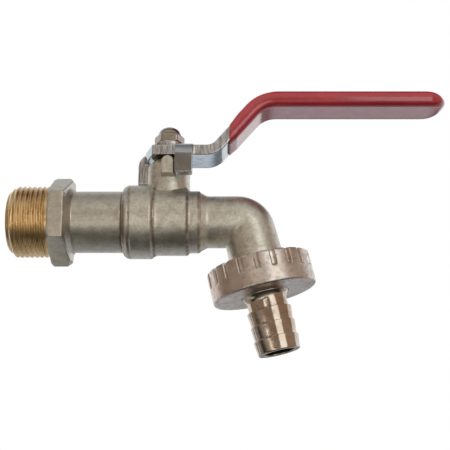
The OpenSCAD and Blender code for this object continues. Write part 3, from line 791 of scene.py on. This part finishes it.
def union_nut_form():
    """Union nut with its grip slots open at the upper edge."""
    start, end = along_outlet("union_nut")
    floor = end - NUT_FLOOR
    corners = [
        (start, NUT_BORE_R, EDGE_ROUND), (start, NUT_R, NUT_ROUND),
        (end, NUT_R, NUT_ROUND), (end, NUT_HOLE_R, NUT_HOLE_ROUND),
        (floor, NUT_HOLE_R, EDGE_ROUND), (floor, NUT_BORE_R, NUT_CORNER_ROUND),
    ]
    pitch = 2 * math.pi * NUT_R / SLOT_COUNT
    rings = []
    for along, r in outline(corners, NUT_STEP):
        ring = []
        for slot in range(SLOT_COUNT):
            for offset in slot_offsets(pitch):
                beside = min(abs(offset), pitch - abs(offset))
                across = soft_step((SLOT_MOUTH_W / 2 - beside) / (SLOT_MOUTH_W - SLOT_FOOT_W) * 2)
                length = soft_step((start + SLOT_L - along) / SLOT_END_L)
                in_wall = max(0, (r - NUT_BORE_R) / (NUT_R - NUT_BORE_R))
                angle = 2 * math.pi * (slot + SLOT_PHASE) / SLOT_COUNT + offset / NUT_R
                ring.append(outlet_point(along, r - SLOT_DEPTH * across * length * in_wall, angle))
        rings.append(ring)
    return wrapped("union_nut_worked", rings)


def hose_tail_form():
    """Hose tail with its flange, a fillet where it leaves the nut, and rounded barbs."""
    start, end = along_outlet("hose_tail")
    nut_end = along_outlet("union_nut")[1]
    barbs = end - BARB_COUNT * BARB_L
    corners = [
        (start, TAIL_BORE_R, EDGE_ROUND), (start, FLANGE_R, FLANGE_ROUND),
        (start + FLANGE_T, FLANGE_R, FLANGE_ROUND), (start + FLANGE_T, COLLAR_R, EDGE_ROUND),
        (nut_end + COLLAR_OUT, COLLAR_R, COLLAR_ROUND), (nut_end + NECK_OUT, NECK_R, NECK_ROUND),
    ]
    # The neck takes the first barb's place
    for i in range(1, BARB_COUNT):
        step = barbs + i * BARB_L
        foot_r = NECK_R if i == 1 else BARB_FOOT_R
        corners += [(step - BARB_STEP, foot_r, BARB_STEP), (step + BARB_STEP, BARB_R, EDGE_ROUND)]
    corners += [(end, BARB_FOOT_R, TAIL_END_ROUND), (end, TAIL_BORE_R, TAIL_END_ROUND)]
    angles = [2 * math.pi * k / TAIL_AROUND for k in range(TAIL_AROUND)]
    rings = [[outlet_point(along, r, a) for a in angles] for along, r in outline(corners, TAIL_STEP)]
    return wrapped("hose_tail_worked", rings)


def cap_nut_radius(r, angle):
    """Radius of the cap nut in a direction: a turned radius, cut off by the nearest flat."""
    from_flat = (math.degrees(angle) - CAP_NUT_FLAT_DEG + 30) % 60 - 30
    return min(r, CAP_NUT_AF / 2 / math.cos(math.radians(from_flat)))


def form_cap_nut(piece):
    """Gives the cap nut its chamfered hexagon and its dome, as the photograph has them."""
    low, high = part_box("cap_nut")
    centre_x = (low.x + high.x) / 2
    foot = CAP_NUT_SIDE[-1][1]
    rise = (high.z - low.z) / MM - foot
    turned = list(CAP_NUT_SIDE)
    for i in range(1, DOME_STEPS):
        t = math.pi / 2 * i / DOME_STEPS
        turned.append((CAP_NUT_DOME_R * math.cos(t), foot + rise * math.sin(t)))
    around = CAP_NUT_AROUND
    vertices = []
    for r, z in turned:
        for k in range(around):
            angle = 2 * math.pi * k / around
            reach = cap_nut_radius(r, angle) * MM
            x = centre_x + reach * math.cos(angle)
            vertices.append((x, reach * math.sin(angle), low.z + z * MM))
    faces = ring_faces(around, [(i, i + 1) for i in range(len(turned) - 1)])
    last = (len(turned) - 1) * around
    for centre, first in (((centre_x, 0, low.z), 0), ((centre_x, 0, high.z), last)):
        vertices.append(centre)
        for k in range(around):
            faces.append((first + k, first + (k + 1) % around, len(vertices) - 1))
    mesh = bpy.data.meshes.new("cap_nut_worked")
    mesh.from_pydata(vertices, [], faces)
    piece.data = mesh


def fill_grip(piece):
    """Adds the lever's end inside the grip, so that the grip's mouth closes on the strip."""
    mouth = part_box("lever_grip")[0].x + STRIP_INSET
    strip = welded(frame["nodes"]["lever"].data)
    cut = bmesh.ops.bisect_plane(
        strip, geom=strip.verts[:] + strip.edges[:] + strip.faces[:],
        plane_co=(mouth, 0, 0), plane_no=(1, 0, 0), clear_inner=True,
    )
    rim = [part for part in cut["geom_cut"] if isinstance(part, bmesh.types.BMEdge)]
    bmesh.ops.contextual_create(strip, geom=rim)
    end = bpy.data.meshes.new("lever_end")
    strip.to_mesh(end)
    both = bmesh.new()
    both.from_mesh(piece.data)
    both.from_mesh(end)
    both.to_mesh(piece.data)
    strip.free()
    both.free()
    bpy.data.meshes.remove(end)


def shorten(piece):
    """Draws the strip's end in, inside the grip, short of the grip's rounded tip."""
    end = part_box("lever_grip")[1].x - TIP_L
    start = end - HIDDEN_L
    share = HIDDEN_L / (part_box("lever")[1].x - start)
    for vertex in piece.data.vertices:
        if vertex.co.x > start:
            vertex.co.x = start + (vertex.co.x - start) * share


def round_tip(piece):
    """Draws the grip's end in towards its middle height, as dipping leaves it."""
    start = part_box("lever_grip")[1].x - TIP_L
    near_tip = [v.co.z for v in piece.data.vertices if v.co.x > start - TIP_L / 2]
    middle = (min(near_tip) + max(near_tip)) / 2
    for vertex in piece.data.vertices:
        t = min((vertex.co.x - start) / TIP_L, 1)
        if t > 0:
            share = math.sqrt(1 - (TIP_BLUNT * t) ** TIP_POWER)
            vertex.co.z = middle + (vertex.co.z - middle) * share


def thin_mouth(piece):
    """Thins the grip's wall towards its mouth, where the dip runs out on the strip."""
    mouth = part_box("lever_grip")[0].x
    rim = [v.co.z for v in piece.data.vertices if v.co.x < mouth + RIM_L]
    middle = (min(rim) + max(rim)) / 2
    for vertex in piece.data.vertices:
        t = (vertex.co.x - mouth) / MOUTH_L
        if t < 1:
            off = vertex.co.z - middle - (vertex.co.x - mouth) * MOUTH_SLOPE
            vertex.co.z -= math.copysign(min(MOUTH_THIN * (1 - t), abs(off)), off)


def slim_outlet(piece):
    """Draws the flare above the union nut in to the plain tube that the photograph shows."""
    for vertex in piece.data.vertices:
        along = (vertex.co - OUTLET_CORNER).dot(OUTLET_DOWN)
        if FLARE_START < along < NUT_MOUTH:
            foot = OUTLET_CORNER + OUTLET_DOWN * along
            off = vertex.co - foot
            if off.length > OUTLET_TUBE_R:
                vertex.co = foot + off * (OUTLET_TUBE_R / off.length)


def lead_radius(x):
    """Radius of the cone that the thread starts with."""
    return THREAD_R - LEAD_DEPTH + (x - INLET_END_X) * math.tan(LEAD_ANGLE)


def sink_thread(piece):
    """Draws the plain thread cylinder in below the root, under the cut thread."""
    for vertex in piece.data.vertices:
        if vertex.co.x < SUNK_START:
            vertex.co.x += SUNK_END * max(0.0, 1.0 - (vertex.co.x - INLET_END_X) / SUNK_L)
            root = min(THREAD_R - THREAD_DEPTH, lead_radius(vertex.co.x)) - SUNK
            r = math.hypot(vertex.co.y, vertex.co.z)
            if r > root:
                vertex.co.y *= root / r
                vertex.co.z *= root / r


def turn_hexagon(piece):
    """Turns the whole inlet piece, on which only the hexagon shows it."""
    piece.data.transform(Matrix.Rotation(HEXAGON_TURN, 4, "X"))


def thread_radius(x, angle):
    """Radius of the rounded pipe thread at a place along the barrel and an angle round it."""
    turn = x / PITCH - angle / (2 * math.pi)
    ridge = abs(2 * (turn - math.floor(turn)) - 1)
    ridge = 0.5 * ridge + 0.5 * soft_step(ridge)
    fade = min(1, max(0, (-x - RUN_OUT / 2) / RUN_OUT))
    start = min(1, (x - INLET_END_X) / PITCH)
    groove = THREAD_DEPTH * (1 - ridge) * fade * start
    return min(THREAD_R, lead_radius(x)) - groove


def cut_thread():
    """Closed tube from the inlet's bore round its end face and along the thread to the hexagon."""
    angles = [2 * math.pi * k / THREAD_AROUND for k in range(THREAD_AROUND)]
    lining = [
        (LINING_END, INLET_BORE_R),
        (INLET_END_X + END_BEVEL, INLET_BORE_R),
        (INLET_END_X, INLET_BORE_R + END_BEVEL),
    ]
    rings = [[(x, r * math.cos(a), r * math.sin(a)) for a in angles] for x, r in lining]
    length = -INLET_END_X
    count = round(length / (PITCH / THREAD_ALONG))
    for i in range(count + 1):
        x = INLET_END_X + length * i / count
        ring = []
        for a in angles:
            r = thread_radius(x, a)
            ring.append((x, r * math.cos(a), r * math.sin(a)))
        rings.append(ring)
    return wrapped("inlet_thread", rings)


def dress(piece, name, material):
    """Puts a new piece in a CAD node's place, on its body and in its slot."""
    piece.data.materials.clear()
    piece.data.materials.append(material)
    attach(piece, BODY_OF[name])
    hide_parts(name)


add_camera()
add_floor()
add_light()
bpy.context.scene.view_settings.view_transform = "Standard"

# Finish of each slot of the record, and the pieces whose finish differs from their slot's. The hose tail's, the
# cap nut's and the gland nut's are darker copies that carry painted reflections and painted shade.
SURFACES = {
    "plated_brass": satin_nickel("satin_nickel", (0.63, 0.61, 0.54), (0.71, 0.69, 0.62)),
    "plated_nut": bright_nickel("bright_nickel", (0.66, 0.56, 0.49), (0.78, 0.74, 0.70), 0.33, 0.6),
    "bare_brass": raw_brass("raw_brass", (0.72, 0.50, 0.25), (0.88, 0.67, 0.38)),
    "chromed_ball": bright_nickel("polished_ball", (0.72, 0.72, 0.73), (0.80, 0.80, 0.81), 0.08, 0.1),
    "zinc_steel": zinc_steel(),
    "red_vinyl": red_vinyl(),
    "ptfe": soft_plastic("ptfe", (0.80, 0.80, 0.77), (0.88, 0.88, 0.86), 0.5),
    "seal_rubber": soft_plastic("seal_rubber", (0.02, 0.02, 0.02), (0.035, 0.035, 0.035), 0.6),
}
OWN_SURFACES = {
    "valve_body": satin_nickel("pale_satin_nickel", (0.72, 0.70, 0.62), (0.82, 0.80, 0.72)),
    # Painted reflection: the hose tail's nickel is drawn browner and darker for the brown that it reflects
    "hose_tail": bright_nickel("brown_reflection_nickel", (0.49, 0.38, 0.29), (0.62, 0.55, 0.48), 0.13, 0.5),
    # Painted reflection: the cap nut's nickel is drawn darker and browner for the dark brown that it reflects
    "cap_nut": bright_nickel("painted_reflection_nickel", (0.42, 0.36, 0.29), (0.56, 0.51, 0.45), 0.24, 0.6),
    # Painted shade: the gland nut's brass is drawn dark for the shade under the lever's hub, where it sits
    "gland_nut": raw_brass("painted_shade_brass", (0.30, 0.24, 0.12), (0.40, 0.32, 0.17)),
}

# Turned pieces that are made anew, and pieces that are worked from the CAD's mesh
TURNED = {"union_nut": union_nut_form, "hose_tail": hose_tail_form}
WORKED = {
    "inlet_barrel": Work(0.36, 4, sharp=True, after=(sink_thread, turn_hexagon)),
    "valve_body": Work(0.42, 5, sharp=True, between=(slim_outlet,)),
    "lever": Work(0.34, 6, sharp=True, between=(shorten,)),
    "lever_grip": Work(0.33, 6, before=(fill_grip,), between=(round_tip, thin_mouth)),
    "cap_nut": Work(0.16, 4, before=(form_cap_nut,)),
    "flat_washer": Work(0.18, 3),
    "spring_washer": Work(0.18, 3),
    "gland_nut": Work(0.25, 3),
}

for name, node in frame["nodes"].items():
    material = OWN_SURFACES.get(name, SURFACES[SLOT_OF[name]])
    node.data.materials.clear()
    node.data.materials.append(material)
    if name in TURNED:
        dress(TURNED[name](), name, material)
    if name in WORKED:
        dress(worked(name, WORKED[name]), name, material)
dress(cut_thread(), "inlet_barrel", SURFACES["bare_brass"])
